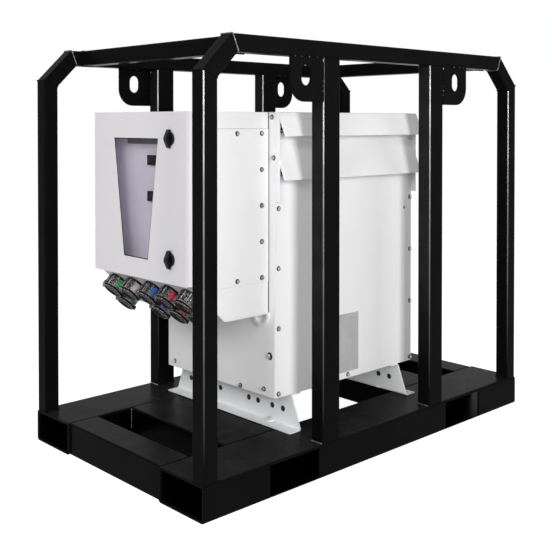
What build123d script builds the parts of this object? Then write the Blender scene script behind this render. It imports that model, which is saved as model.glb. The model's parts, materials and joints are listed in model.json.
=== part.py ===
from build123d import *
import math
import os

os.makedirs("parts", exist_ok=True)

# Skid, millimetres; X runs along the skid, the distribution panel faces -X, Z is up
SKID_LENGTH = 1524.0
SKID_WIDTH = 895.0
TUBE_WIDTH = 203.0
TUBE_HEIGHT = 102.0
TUBE_WALL = 6.4
TUBE_ROUND = 9.0
POCKET_GAP = 17.0
POCKET_LIP = 7.0
END_INSET = 6.0
END_DEPTH = 104.0

# Cage
CAGE_HEIGHT = 1318.0
POST = 50.8
POST_INSET = 1.5
POST_ROUND = 5.0
BRACE_LEG = 103.5
CROSS_RAIL_INSET = 141.0
MID_POST_LENGTH = 75.0
MID_POST_EDGE = 300.0

# Lifting lugs
LUG_LENGTH = 136.0
LUG_DROP = 133.0
LUG_PLATE = 8.0
LUG_CORNER = 60.0
LUG_SLOT_OFFSET = 72.0
LUG_SLOT_WIDTH = 41.0
LUG_SLOT_LENGTH = 61.0
LUG_SLOT_RISE = 48.0

# Transformer case
CASE_LENGTH = 680.0
CASE_SIDE_GAP = 172.0
CASE_LIFT = 108.0
CASE_HEADROOM = 212.5
SHEET = 3.0

# Folded feet under the case
FOOT_SETBACK = 76.0
FOOT_PLATE = 4.0
FOOT_BEND = 4.0
FOOT_FLANGE = 49.0
FOOT_TOP_FLANGE = 40.0
FOOT_SPREAD = 40.5
FOOT_HOLE = 13.0
FOOT_HOLE_RISE = 54.0
FOOT_HOLE_MARGIN = 37.5
FOOT_HOLE_SHARES = (-1.0, -0.79, -0.5, -0.31, 0.31, 0.5, 0.79, 1.0)

# Louvre hoods on both long sides of the case
HOOD_HEIGHT = 280.0
HOOD_DEPTH = 21.5
UPPER_BLADE_DROP = 75.0
UPPER_BLADE_REACH = 35.0
LOWER_BLADE_START = 95.0
LOWER_BLADE_DROP = 116.0
LOWER_BLADE_REACH = 50.0
LOWER_BLADE_FLANGE = 29.0
BLADE_TAB = 10.0
VENT_RISE = 10.0
SCREEN_LAP = 8.0
SCREEN = 2.0

# Distribution panel and wireway on the -X end of the case
WIREWAY_REACH = 327.0
PANEL_WIDTH = 482.0
PANEL_OFFSET = -7.0
DOOR_HEIGHT = 510.0
DOOR_DEPTH = 24.0
DOOR_GAP = 5.0
WIREWAY_HEIGHT = 628.0
PANEL_SHEET = 2.5
SIDE_COVER_DROP = 51.5
SIDE_COVER_HEIGHT = 478.0
SIDE_COVER_LENGTH = 257.0
SIDE_COVER_MARGIN = 3.5
DEAD_FRONT_SETBACK = 62.0
DEAD_FRONT_RISE = 6.0
HUB_RADIUS = 37.0
HUB_BORE = 27.0
HUB_SIDES = 40
HUB_DEPTH = 9.0
HUB_INSET = 31.0
HUB_DROP = 9.5

# Door window, hinges and turn latches
WINDOW_DROP = 80.0
WINDOW_HEIGHT = 369.5
WINDOW_TOP_WIDTH = 236.0
WINDOW_BOTTOM_WIDTH = 129.0
WINDOW_OFFSET = 11.5
PANE = 3.0
PANE_LAP = 14.0
HINGE_RADIUS = 5.0
HINGE_LENGTH = 36.0
HINGE_GAP = 0.5
HINGE_LEAF = 2.5
HINGE_LEAF_LENGTH = 28.0
HINGE_MARGIN = 87.0
LATCH_INSET = 72.0
LATCH_DROP = 80.0
LATCH_SPACING = 356.5
LATCH_DISC_RADIUS = 20.0
LATCH_DISC = 5.0
LATCH_CLEARANCE = 0.3
LATCH_SHAFT_RADIUS = 6.0
WING_HEIGHT = 55.0
WING_WIDTH = 14.0
WING_END = 6.0
WING_PEAK = 18.0
LATCH_CAM_LENGTH = 46.0
LATCH_CAM_WIDTH = 14.0
LATCH_CAM = 4.0
LATCH_CAM_SETBACK = 29.0

# Single-pole connectors on the slanted underside of the panel
CONNECTOR_MARGIN = 51.0
ROW_UPPER = 51.0
ROW_LOWER = 121.0
CONNECTOR_PLATE = 4.0
COVER_RADIUS = 32.0
COVER_LENGTH = 48.0
COVER_WALL = 3.0
COVER_SIDES = 28
INSERT_RADIUS = 13.0
INSERT_LENGTH = 41.0
INSERT_BASE_RADIUS = 24.0
INSERT_BASE = 8.0
INSERT_SIDES = 16
UPPER_ROW_SHARES = (0.0, 0.25, 0.5, 0.75, 1.0)
LOWER_ROW_SHARES = (0.0, 0.25, 0.5, 1.0)

# Breakers behind the dead front
BREAKER_WIDTH = 76.0
BREAKER_HEIGHT = 31.0
BREAKER_DEPTH = 12.0
BREAKER_OFFSET = -18.0
BREAKER_DROP = 149.5
BREAKER_SPACING = 113.0
TOGGLE_WIDTH = 24.0
TOGGLE_HEIGHT = 14.0
TOGGLE_DEPTH = 12.0

half_length = SKID_LENGTH / 2
half_width = SKID_WIDTH / 2
tube_inner = half_width - TUBE_WIDTH
pocket_near = MID_POST_EDGE + POCKET_GAP
pocket_far = pocket_near + TUBE_WIDTH
pocket_top = TUBE_HEIGHT - POCKET_LIP
post_x = half_length - POST_INSET
post_y = half_width - POST_INSET
mitre = POST * math.tan(math.pi / 8)
rail_under = CAGE_HEIGHT - POST
brace_foot = CAGE_HEIGHT - BRACE_LEG
brace_head = post_x - BRACE_LEG
case_x = CASE_LENGTH / 2
case_y = half_width - CASE_SIDE_GAP
case_bottom = TUBE_HEIGHT + CASE_LIFT
case_top = CAGE_HEIGHT - CASE_HEADROOM
wall_inner = case_x - SHEET
cover_inner = case_y - SHEET
roof_under = case_top - SHEET
hood_y = case_y + HOOD_DEPTH
hood_bottom = case_top - HOOD_HEIGHT
upper_lip_y = hood_y + UPPER_BLADE_REACH
upper_lip_z = case_top - UPPER_BLADE_DROP
upper_slant = UPPER_BLADE_DROP / UPPER_BLADE_REACH
lower_bend_z = case_top - LOWER_BLADE_START
lower_lip_y = case_y + LOWER_BLADE_REACH
lower_lip_z = lower_bend_z - LOWER_BLADE_DROP
lower_slant = LOWER_BLADE_DROP / LOWER_BLADE_REACH
vent_bottom = lower_lip_z + VENT_RISE
panel_front = case_x + WIREWAY_REACH
panel_near = PANEL_OFFSET - PANEL_WIDTH / 2
panel_far = PANEL_OFFSET + PANEL_WIDTH / 2
panel_bottom = case_top - DOOR_HEIGHT
wireway_bottom = case_top - WIREWAY_HEIGHT
door_back = panel_front - DOOR_DEPTH
body_front = door_back - DOOR_GAP
slope_drop = panel_bottom - wireway_bottom
slope_foot = body_front - slope_drop
latch_y = panel_near + LATCH_INSET
latch_upper_z = case_top - LATCH_DROP
latch_lower_z = latch_upper_z - LATCH_SPACING
BOTH = (-1, 1)


def block(x0, x1, y0, y1, z0, z1):
    """Box between two corners."""
    return Pos((x0 + x1) / 2, (y0 + y1) / 2, (z0 + z1) / 2) * Box(abs(x1 - x0), abs(y1 - y0), abs(z1 - z0))


def outline_xz(points):
    """Face in the XZ plane."""
    return make_face(Polyline(*[(x, 0, z) for x, z in points], close=True))


def plate_xz(points, y0, y1):
    """Outline in the XZ plane, thickened from y0 to y1."""
    return Pos(0, min(y0, y1), 0) * extrude(outline_xz(points), abs(y1 - y0), dir=(0, 1, 0))


def plate_yz(points, x0, x1):
    """Outline in the YZ plane, thickened from x0 to x1."""
    face = make_face(Polyline(*[(0, y, z) for y, z in points], close=True))
    return Pos(min(x0, x1), 0, 0) * extrude(face, abs(x1 - x0), dir=(1, 0, 0))


def rod(origin, direction, radius, length):
    """Round bar from a point along a direction."""
    return extrude(Plane(origin=origin, z_dir=direction) * Circle(radius), length)


def soften(solid, direction, radius):
    """Round the edges that run along one direction."""
    axis = Vector(*direction).normalized()
    along = [e for e in solid.edges() if abs((e @ 1 - e @ 0).normalized().dot(axis)) > 0.999]
    return fillet(along, radius)


def tube_x(start, end, y0, y1):
    """Open rectangular skid tube along X."""
    outer = soften(block(start, end, y0, y1, 0, TUBE_HEIGHT), (1, 0, 0), TUBE_ROUND)
    bore = block(start, end, y0 + TUBE_WALL, y1 - TUBE_WALL, TUBE_WALL, TUBE_HEIGHT - TUBE_WALL)
    return outer - bore


def tube_y(start, end, x0, x1):
    """Open rectangular skid tube along Y."""
    outer = soften(block(x0, x1, start, end, 0, TUBE_HEIGHT), (0, 1, 0), TUBE_ROUND)
    bore = block(x0 + TUBE_WALL, x1 - TUBE_WALL, start, end, TUBE_WALL, TUBE_HEIGHT - TUBE_WALL)
    return outer - bore


def save(name, solids):
    """Write one node."""
    shape = solids[0] if len(solids) == 1 else Compound(children=list(solids))
    export_step(shape, f"parts/{name}.step")


# Skid: two long fork tubes cut through for the side pockets, two cross fork tubes, two end members
for name, side in (("front", -1), ("back", 1)):
    low, high = sorted((side * tube_inner, side * half_width))
    long_tube = tube_x(-half_length, half_length, low, high)
    for end in BOTH:
        long_tube -= block(end * pocket_near, end * pocket_far, low, high, POCKET_LIP, pocket_top)
    save(f"fork_tube_{name}", [long_tube])
member_x = half_length - END_INSET
for name, end in (("left", -1), ("right", 1)):
    low, high = sorted((end * pocket_near, end * pocket_far))
    save(f"fork_cross_{name}", [tube_y(-tube_inner, tube_inner, low, high)])
    member = block(end * member_x, end * (member_x - END_DEPTH), -tube_inner, tube_inner, 0, TUBE_HEIGHT)
    save(f"end_member_{name}", [soften(member, (0, 1, 0), POST_ROUND)])

# Cage: corner posts, mitred braces, long rails, middle posts, cross rails
braces = []
long_rails = []
for side_name, side in (("front", -1), ("back", 1)):
    outer_y = side * post_y
    inner_y = side * (post_y - POST)
    mid_posts = []
    for end_name, end in (("left", -1), ("right", 1)):
        post_outline = [
            (end * post_x, TUBE_HEIGHT),
            (end * (post_x - POST), TUBE_HEIGHT),
            (end * (post_x - POST), brace_foot - mitre),
            (end * post_x, brace_foot),
        ]
        post = soften(plate_xz(post_outline, outer_y, inner_y), (0, 0, 1), POST_ROUND)
        save(f"corner_post_{side_name}_{end_name}", [post])
        brace_outline = [
            (end * post_x, brace_foot),
            (end * (post_x - POST), brace_foot - mitre),
            (end * (brace_head - mitre), rail_under),
            (end * brace_head, CAGE_HEIGHT),
        ]
        braces.append(soften(plate_xz(brace_outline, outer_y, inner_y), (-end, 0, 1), POST_ROUND))
        mid_low, mid_high = sorted((end * MID_POST_EDGE, end * (MID_POST_EDGE - MID_POST_LENGTH)))
        mid = block(mid_low, mid_high, outer_y, inner_y, TUBE_HEIGHT, rail_under)
        mid_posts.append(soften(mid, (0, 0, 1), POST_ROUND))
    save(f"mid_posts_{side_name}", mid_posts)
    rail_outline = [
        (-brace_head, CAGE_HEIGHT),
        (-(brace_head - mitre), rail_under),
        (brace_head - mitre, rail_under),
        (brace_head, CAGE_HEIGHT),
    ]
    long_rails.append(soften(plate_xz(rail_outline, outer_y, inner_y), (1, 0, 0), POST_ROUND))
save("corner_braces", braces)
save("long_rails", long_rails)
cross_x = half_length - CROSS_RAIL_INSET
cross_y = post_y - POST
cross_rails = []
for end in BOTH:
    cross = block(end * cross_x, end * (cross_x - POST), -cross_y, cross_y, rail_under, CAGE_HEIGHT)
    cross_rails.append(soften(cross, (0, 1, 0), POST_ROUND))
save("cross_rails", cross_rails)

# Lifting lugs: slotted plates with a rounded lower corner, outboard of every middle post
lug_far = MID_POST_EDGE + LUG_LENGTH
lug_bottom = rail_under - LUG_DROP
slot_x = MID_POST_EDGE + LUG_SLOT_OFFSET
slot_z = lug_bottom + LUG_SLOT_RISE + LUG_SLOT_LENGTH / 2
slot_run = (LUG_SLOT_LENGTH - LUG_SLOT_WIDTH) / 2
lugs = []
for side in BOTH:
    for end in BOTH:
        corner = (end * lug_far, 0, lug_bottom)
        face = outline_xz(
            [
                (end * MID_POST_EDGE, lug_bottom),
                (end * lug_far, lug_bottom),
                (end * lug_far, rail_under),
                (end * MID_POST_EDGE, rail_under),
            ]
        )
        face = fillet(face.vertices().sort_by_distance(corner)[0], LUG_CORNER)
        slot_start = side * (post_y - LUG_PLATE)
        lug = Pos(0, slot_start, 0) * extrude(face, LUG_PLATE, dir=(0, side, 0))
        for rise in (-slot_run, slot_run):
            lug -= rod((end * slot_x, slot_start, slot_z + rise), (0, side, 0), LUG_SLOT_WIDTH / 2, LUG_PLATE)
        lug -= block(
            end * slot_x - LUG_SLOT_WIDTH / 2, end * slot_x + LUG_SLOT_WIDTH / 2,
            slot_start, side * post_y, slot_z - slot_run, slot_z + slot_run,
        )
        lugs.append(lug)
save("lifting_lugs", lugs)

# Feet: folded Z section, its ends cut on a slant from the flange up to the case
foot_end = case_y + FOOT_SPREAD
foot_sides = [
    (-foot_end, TUBE_HEIGHT),
    (foot_end, TUBE_HEIGHT),
    (foot_end, TUBE_HEIGHT + FOOT_PLATE),
    (case_y, case_bottom),
    (-case_y, case_bottom),
    (-foot_end, TUBE_HEIGHT + FOOT_PLATE),
]
hole_z = TUBE_HEIGHT + FOOT_HOLE_RISE
hole_reach = case_y - FOOT_HOLE_MARGIN
for name, end in (("foot_left", -1), ("foot_right", 1)):
    web_in = end * (case_x - FOOT_SETBACK)
    web_out = web_in + end * FOOT_PLATE
    flange_x = web_in + end * FOOT_FLANGE
    top_x = web_out - end * FOOT_TOP_FLANGE
    section = outline_xz(
        [
            (web_in, TUBE_HEIGHT),
            (flange_x, TUBE_HEIGHT),
            (flange_x, TUBE_HEIGHT + FOOT_PLATE),
            (web_out, TUBE_HEIGHT + FOOT_PLATE),
            (web_out, case_bottom),
            (top_x, case_bottom),
            (top_x, case_bottom - FOOT_PLATE),
            (web_in, case_bottom - FOOT_PLATE),
        ]
    )
    inner_bends = ((web_out, TUBE_HEIGHT + FOOT_PLATE), (web_in, case_bottom - FOOT_PLATE))
    outer_bends = ((web_in, TUBE_HEIGHT), (web_out, case_bottom))
    for bends, radius in ((inner_bends, FOOT_BEND), (outer_bends, FOOT_BEND + FOOT_PLATE)):
        for bend_x, bend_z in bends:
            vertex = section.vertices().sort_by_distance((bend_x, 0, bend_z))[0]
            section = fillet(vertex, radius)
    foot = Pos(0, -foot_end, 0) * extrude(section, foot_end * 2, dir=(0, 1, 0))
    foot &= plate_yz(foot_sides, top_x, flange_x)
    for share in FOOT_HOLE_SHARES:
        foot -= rod((web_in, share * hole_reach, hole_z), (end, 0, 0), FOOT_HOLE / 2, FOOT_PLATE)
    save(name, [foot])

# Case: end walls, lower covers, roof and base sheet
for name, end in (("left", -1), ("right", 1)):
    wall = block(end * wall_inner, end * case_x, -case_y, case_y, case_bottom, roof_under)
    save(f"case_end_{name}", [wall])
for name, side in (("front", -1), ("back", 1)):
    cover = block(-wall_inner, wall_inner, side * cover_inner, side * case_y, case_bottom, vent_bottom)
    save(f"case_cover_{name}", [cover])
save("case_roof", [block(-case_x, case_x, -hood_y, hood_y, roof_under, case_top)])
base_sheet = block(-wall_inner, wall_inner, -cover_inner, cover_inner, case_bottom, case_bottom + SHEET)
save("case_base", [base_sheet])

# Louvre hoods: end wings, two slanted blades with folded end tabs, a screen behind the openings
upper_blade = [
    (hood_y, case_top),
    (upper_lip_y, upper_lip_z),
    (upper_lip_y - SHEET, upper_lip_z),
    (hood_y, case_top - SHEET * upper_slant),
]
upper_tab = [
    (hood_y, case_top),
    (upper_lip_y, upper_lip_z),
    (upper_lip_y - BLADE_TAB, upper_lip_z),
    (hood_y, case_top - BLADE_TAB * upper_slant),
]
lower_blade = [
    (cover_inner, lower_bend_z + LOWER_BLADE_FLANGE),
    (case_y, lower_bend_z + LOWER_BLADE_FLANGE),
    (case_y, lower_bend_z),
    (lower_lip_y, lower_lip_z),
    (lower_lip_y - SHEET, lower_lip_z),
    (cover_inner, lower_bend_z),
]
lower_tab = [
    (case_y, lower_bend_z),
    (lower_lip_y, lower_lip_z),
    (lower_lip_y - BLADE_TAB, lower_lip_z),
    (case_y, lower_bend_z - BLADE_TAB * lower_slant),
]


def louvre(side, blade, tab, reach):
    """Blade across the case with a tab folded back at both ends."""
    made = plate_yz([(side * y, z) for y, z in blade], -reach, reach)
    for end in BOTH:
        made += plate_yz([(side * y, z) for y, z in tab], end * (reach - SHEET), end * reach)
    return made


for name, side in (("front", -1), ("back", 1)):
    wings = []
    for end in BOTH:
        wings.append(
            block(end * wall_inner, end * case_x, side * case_y, side * hood_y, hood_bottom, roof_under)
        )
    save(f"louvre_hood_{name}", wings)
    upper = louvre(side, upper_blade, upper_tab, case_x)
    lower = louvre(side, lower_blade, lower_tab, wall_inner)
    save(f"louvre_blades_{name}", [upper, lower])
    screen = block(
        -wall_inner, wall_inner, side * (cover_inner - SCREEN), side * cover_inner,
        vent_bottom - SCREEN_LAP, roof_under,
    )
    save(f"vent_screen_{name}", [screen])

# Wireway shell: panel body and throat as one folded sheet box, open at the door, the slope and the case
hollow_top = case_top - PANEL_SHEET
hollow_bottom = wireway_bottom + PANEL_SHEET
body_points = [
    (-body_front, case_top),
    (-case_x, case_top),
    (-case_x, wireway_bottom),
    (-slope_foot, wireway_bottom),
    (-body_front, panel_bottom),
]
hollow_points = [
    (-body_front, hollow_top),
    (-case_x, hollow_top),
    (-case_x, hollow_bottom),
    (-slope_foot, hollow_bottom),
    (-slope_foot, wireway_bottom),
    (-body_front, panel_bottom),
]
shell = plate_xz(body_points, panel_near, panel_far)
shell -= plate_xz(hollow_points, panel_near + PANEL_SHEET, panel_far - PANEL_SHEET)
save("wireway_shell", [shell])
cover_end = case_x + SIDE_COVER_MARGIN
cover_top = case_top - SIDE_COVER_DROP
side_cover = block(
    -(cover_end + SIDE_COVER_LENGTH), -cover_end,
    panel_near - PANEL_SHEET, panel_near,
    cover_top - SIDE_COVER_HEIGHT, cover_top,
)
save("wireway_side_cover", [side_cover])

# Half-round hub on the case wall just under the wireway
hub_y = panel_near + HUB_INSET
hub_z = wireway_bottom - HUB_DROP
hub_plane = Plane(origin=(-case_x, hub_y, hub_z), x_dir=(0, 1, 0), z_dir=(-1, 0, 0))
hub = extrude(hub_plane * RegularPolygon(HUB_RADIUS, HUB_SIDES), HUB_DEPTH)
hub -= extrude(hub_plane * RegularPolygon(HUB_BORE, HUB_SIDES), HUB_DEPTH)
hub &= block(
    -case_x - HUB_DEPTH, -case_x, hub_y - HUB_RADIUS, hub_y + HUB_RADIUS, hub_z - HUB_RADIUS, wireway_bottom,
)
save("wireway_hub", [hub])

# Dead front with two breakers
dead_x = -(panel_front - DEAD_FRONT_SETBACK)
dead_front = block(
    dead_x, dead_x + PANEL_SHEET,
    panel_near + PANEL_SHEET, panel_far - PANEL_SHEET,
    panel_bottom + DEAD_FRONT_RISE, hollow_top,
)
save("dead_front", [dead_front])
breaker_y = PANEL_OFFSET + BREAKER_OFFSET
breaker_face = dead_x - BREAKER_DEPTH
breakers = []
for breaker_z in (case_top - BREAKER_DROP, case_top - BREAKER_DROP - BREAKER_SPACING):
    breaker = block(
        breaker_face, dead_x, breaker_y - BREAKER_WIDTH / 2, breaker_y + BREAKER_WIDTH / 2,
        breaker_z - BREAKER_HEIGHT / 2, breaker_z + BREAKER_HEIGHT / 2,
    )
    breaker += block(
        breaker_face - TOGGLE_DEPTH, breaker_face, breaker_y - TOGGLE_WIDTH / 2, breaker_y + TOGGLE_WIDTH / 2,
        breaker_z - TOGGLE_HEIGHT / 2, breaker_z + TOGGLE_HEIGHT / 2,
    )
    breakers.append(breaker)
save("breakers", breakers)

# Door: folded pan with a tapered window, hinge knuckles and two latch holes
window_y = PANEL_OFFSET + WINDOW_OFFSET
window_top = case_top - WINDOW_DROP


def window_outline(lap):
    """Tapered window outline, widened all round by a lap."""
    top_half = WINDOW_TOP_WIDTH / 2 + lap
    bottom_half = WINDOW_BOTTOM_WIDTH / 2 + lap
    top = window_top + lap
    bottom = window_top - WINDOW_HEIGHT - lap
    return [
        (window_y - top_half, top),
        (window_y + top_half, top),
        (window_y + bottom_half, bottom),
        (window_y - bottom_half, bottom),
    ]


door = block(-panel_front, -door_back, panel_near, panel_far, panel_bottom, case_top)
door -= block(
    -(panel_front - PANEL_SHEET), -door_back,
    panel_near + PANEL_SHEET, panel_far - PANEL_SHEET,
    panel_bottom + PANEL_SHEET, hollow_top,
)
door -= plate_yz(window_outline(0), -panel_front, -(panel_front - PANEL_SHEET))
latch_hole = LATCH_SHAFT_RADIUS + LATCH_CLEARANCE
for latch_z in (latch_upper_z, latch_lower_z):
    door -= rod((-panel_front, latch_y, latch_z), (1, 0, 0), latch_hole, PANEL_SHEET)
hinge_x = -(door_back - DOOR_GAP / 2)
hinge_y = panel_far + HINGE_RADIUS
leaves = []
for hinge_z in (case_top - HINGE_MARGIN, panel_bottom + HINGE_MARGIN):
    door += rod((hinge_x, hinge_y, hinge_z), (0, 0, 1), HINGE_RADIUS, HINGE_LENGTH)
    door += block(
        hinge_x - HINGE_LEAF_LENGTH / 2, hinge_x, panel_far, panel_far + HINGE_LEAF,
        hinge_z, hinge_z + HINGE_LENGTH,
    )
    leaf_top = hinge_z - HINGE_GAP
    leaf = rod((hinge_x, hinge_y, leaf_top), (0, 0, -1), HINGE_RADIUS, HINGE_LENGTH)
    leaf += block(
        hinge_x, hinge_x + HINGE_LEAF_LENGTH, panel_far, panel_far + HINGE_LEAF,
        leaf_top - HINGE_LENGTH, leaf_top,
    )
    leaves.append(leaf)
save("panel_door", [door])
save("door_hinges", leaves)
pane_x = -(panel_front - PANEL_SHEET)
save("window_pane", [plate_yz(window_outline(PANE_LAP), pane_x, pane_x + PANE)])

# Turn latches: disc, upright wing that peaks at its middle, shaft through the door, cam behind it
disc_x = -(panel_front + LATCH_CLEARANCE)
wing_x = disc_x - LATCH_DISC
cam_x = -(panel_front - LATCH_CAM_SETBACK)
for name, latch_z in (("latch_upper", latch_upper_z), ("latch_lower", latch_lower_z)):
    latch = rod((wing_x, latch_y, latch_z), (1, 0, 0), LATCH_DISC_RADIUS, LATCH_DISC)
    wing_outline = [
        (wing_x, latch_z - WING_HEIGHT / 2),
        (wing_x - WING_END, latch_z - WING_HEIGHT / 2),
        (wing_x - WING_PEAK, latch_z),
        (wing_x - WING_END, latch_z + WING_HEIGHT / 2),
        (wing_x, latch_z + WING_HEIGHT / 2),
    ]
    latch += plate_xz(wing_outline, latch_y - WING_WIDTH / 2, latch_y + WING_WIDTH / 2)
    latch += rod((disc_x, latch_y, latch_z), (1, 0, 0), LATCH_SHAFT_RADIUS, cam_x - disc_x)
    latch += block(
        cam_x, cam_x + LATCH_CAM, latch_y - LATCH_CAM_LENGTH, latch_y + LATCH_CAM_WIDTH / 2,
        latch_z - LATCH_CAM_WIDTH / 2, latch_z + LATCH_CAM_WIDTH / 2,
    )
    save(name, [latch])

# Connector plate on the slope, with hollow covers over stepped inserts, square to the plate
slope_step = math.cos(math.pi / 4)
slope_out = (-slope_step, 0, -slope_step)
slope_length = slope_drop / slope_step


def on_slope(y, down, out):
    """Point at a distance down the slope from its top edge and outwards from it."""
    return (-body_front + (down - out) * slope_step, y, panel_bottom - (down + out) * slope_step)


def slope_plane(y, down, out):
    """Sketch plane facing outwards from the slope."""
    return Plane(origin=on_slope(y, down, out), x_dir=(0, 1, 0), z_dir=slope_out)


plate_face = slope_plane(PANEL_OFFSET, slope_length / 2, 0) * Rectangle(PANEL_WIDTH, slope_length)
save("connector_plate", [extrude(plate_face, CONNECTOR_PLATE)])
row_start = panel_near + CONNECTOR_MARGIN
row_span = PANEL_WIDTH - CONNECTOR_MARGIN * 2
rows = (("upper", UPPER_ROW_SHARES, ROW_UPPER), ("lower", LOWER_ROW_SHARES, ROW_LOWER))
cover_bore = COVER_RADIUS - COVER_WALL
for name, shares, down in rows:
    covers = []
    inserts = []
    for share in shares:
        seat = slope_plane(row_start + share * row_span, down, CONNECTOR_PLATE)
        cover = extrude(seat * RegularPolygon(COVER_RADIUS, COVER_SIDES), COVER_LENGTH)
        cover -= extrude(seat * RegularPolygon(cover_bore, COVER_SIDES), COVER_LENGTH - COVER_WALL)
        covers.append(cover)
        insert = extrude(seat * RegularPolygon(INSERT_RADIUS, INSERT_SIDES), INSERT_LENGTH)
        insert += extrude(seat * RegularPolygon(INSERT_BASE_RADIUS, INSERT_SIDES), INSERT_BASE)
        inserts.append(insert)
    save(f"connector_covers_{name}", covers)
    save(f"connector_inserts_{name}", inserts)
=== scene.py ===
import json
import math
import random

import bmesh
import bpy
from mathutils import Euler, Matrix, Vector


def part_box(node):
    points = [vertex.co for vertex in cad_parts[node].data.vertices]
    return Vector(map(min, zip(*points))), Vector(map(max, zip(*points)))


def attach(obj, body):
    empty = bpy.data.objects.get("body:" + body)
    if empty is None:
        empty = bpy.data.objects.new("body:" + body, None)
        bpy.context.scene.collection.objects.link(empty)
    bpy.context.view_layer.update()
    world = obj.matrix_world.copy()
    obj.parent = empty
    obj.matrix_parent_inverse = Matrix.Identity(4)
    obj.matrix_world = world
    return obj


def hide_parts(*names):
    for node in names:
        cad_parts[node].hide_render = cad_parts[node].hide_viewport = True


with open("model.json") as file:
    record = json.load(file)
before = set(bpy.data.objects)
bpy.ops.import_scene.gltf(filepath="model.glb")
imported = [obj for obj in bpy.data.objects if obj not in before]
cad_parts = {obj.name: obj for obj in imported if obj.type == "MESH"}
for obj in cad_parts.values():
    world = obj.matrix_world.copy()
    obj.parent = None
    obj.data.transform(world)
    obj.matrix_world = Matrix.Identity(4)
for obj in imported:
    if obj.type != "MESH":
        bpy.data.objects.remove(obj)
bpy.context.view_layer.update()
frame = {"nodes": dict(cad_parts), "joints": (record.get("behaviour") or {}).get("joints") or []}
random.seed(7)

# The photograph's camera, worked out from the straight edges of the skid and cage; metres and radians
PICTURE_SIDE = 552
FOCAL_PIXELS = 896.6
PRINCIPAL_ROW = 136.2
SENSOR = 36.0
CAMERA_PLACE = (-2.2508, -2.3034, 1.0730)
CAMERA_PITCH = 0.01523
CAMERA_YAW = -0.75716

# Lamps: name, place, width, height and power
LAMP_TARGET = (0.0, 0.0, 0.62)
LAMPS = (
    ("key_lamp", (-1.60, -3.85, 1.45), 0.95, 1.40, 98.0),
    ("front_fill", (4.00, -5.50, 1.80), 3.00, 3.00, 52.0),
    ("middle_fill", (-4.20, -4.20, 1.60), 1.80, 2.20, 22.0),
    ("door_lamp", (-4.35, -2.40, 2.50), 1.40, 1.40, 70.0),
    ("left_fill", (-4.20, 0.20, 2.80), 2.20, 2.20, 30.0),
    ("top_lamp", (0.40, 0.30, 4.60), 3.00, 3.00, 40.0),
)
AMBIENT = 0.15
FLOOR_REACH = 40.0
FLOOR_GLOW = 0.93

# Noises of the finishes: the band of values in use, the depth of the fine grain, and their detail
NOISE_BAND = (0.3, 0.7)
GRAIN_DEPTH = 0.001
PATCH_DETAIL = 5.0
GRAIN_DETAIL = 2.0
CLEAR_DETAIL = 3.0

# Marks on the black paint: colours of the painted highlight, the painted reflection, dust with painted sheen
# and painted shade, and the heights between which the painted highlight, the deck and the painted reflection
# come in
PAINTED_HIGHLIGHT = (0.30, 0.30, 0.30)
PAINTED_REFLECTION = (0.018, 0.018, 0.018)
DUST_AND_SHEEN = (0.018, 0.018, 0.0175)
PAINTED_SHADE = (0.0008, 0.0008, 0.0008)
HIGHLIGHT_SPAN = (0.15, 1.12)
DECK_SPAN = (0.096, 0.098)
REFLECTION_SPAN = (0.25, 0.60)

# Half length and half width inside which the skid's faces below the deck get painted shade, and the width of
# that edge
SKID_REACH = (0.755, 0.4440)
SKID_EDGE = 0.001

# Parts of a surface's direction between which the marks come in: up for dust and painted sheen, to the panel
# side for the painted reflection and highlight, round a corner for the painted highlight
UPWARD_SPAN = (0.80, 0.98)
PANEL_SPAN = (0.0, -1.0)
REFLECTION_FACING = (0.95, 0.99)
CORNER_IN = (0.10, 0.30)
CORNER_OUT = (0.96, 0.80)
CORNER_ACROSS = (0.15, 0.40)

# Patches of the marks: noise scale and detail, the dust and sheen's own band, and the least of each kind
# between patches
MARK_PATCH_SCALE = 14.0
MARK_PATCH_DETAIL = 3.0
DUST_AND_SHEEN_BAND = (0.3, 0.6)
DUST_AND_SHEEN_LEAST = 0.5
REFLECTION_LEAST = 0.6
HIGHLIGHT_LEAST = 0.7

# Fasteners: washer radius, hex radius, washer thickness, head height
SCREW = (0.0080, 0.0062, 0.0016, 0.0062)
BOLT = (0.0150, 0.0105, 0.0025, 0.0105)
PLUG = (0.0120, 0.0085, 0.0030, 0.0075)
STUD = (0.0052, 0.0040, 0.0010, 0.0040)
RIVET_RADIUS = 0.0028
WASHER_SIDES = 24
WASHER_RIM_SHARE = 0.45
WASHER_TOP_SHARE = 1.02
HEX_SIDES = 6
HEX_SEAT_SHARE = 0.5
HEX_TOP_SHARE = 0.84
HEX_CROWN_SHARE = 1.02

# Screw places on the long sides of the case: in from the ends, up from the bottom
COVER_SCREW_NEAR = 0.0165
COVER_SCREW_FAR = 0.0070
COVER_SCREW_RISES = (0.012, 0.217, 0.406, 0.594)
WALL_SCREWS = ((-0.226, 0.021), (-0.114, 0.009), (0.114, 0.009), (0.238, 0.021))
WALL_PLUG = (-0.253, 0.130)
HOOD_SCREWS = ((-0.263, 0.880), (-0.271, 0.753))
HOOD_STUD = (0.039, 0.558)
SIDE_SCREW_INSET = 0.028
SIDE_SCREW_MARGIN = 0.0145
SIDE_SCREW_COUNT = 5
FOOT_BOLT_SHARE = 0.58
FOOT_BOLT_INSET = 0.038
FOOT_SHEET = 0.004

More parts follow.
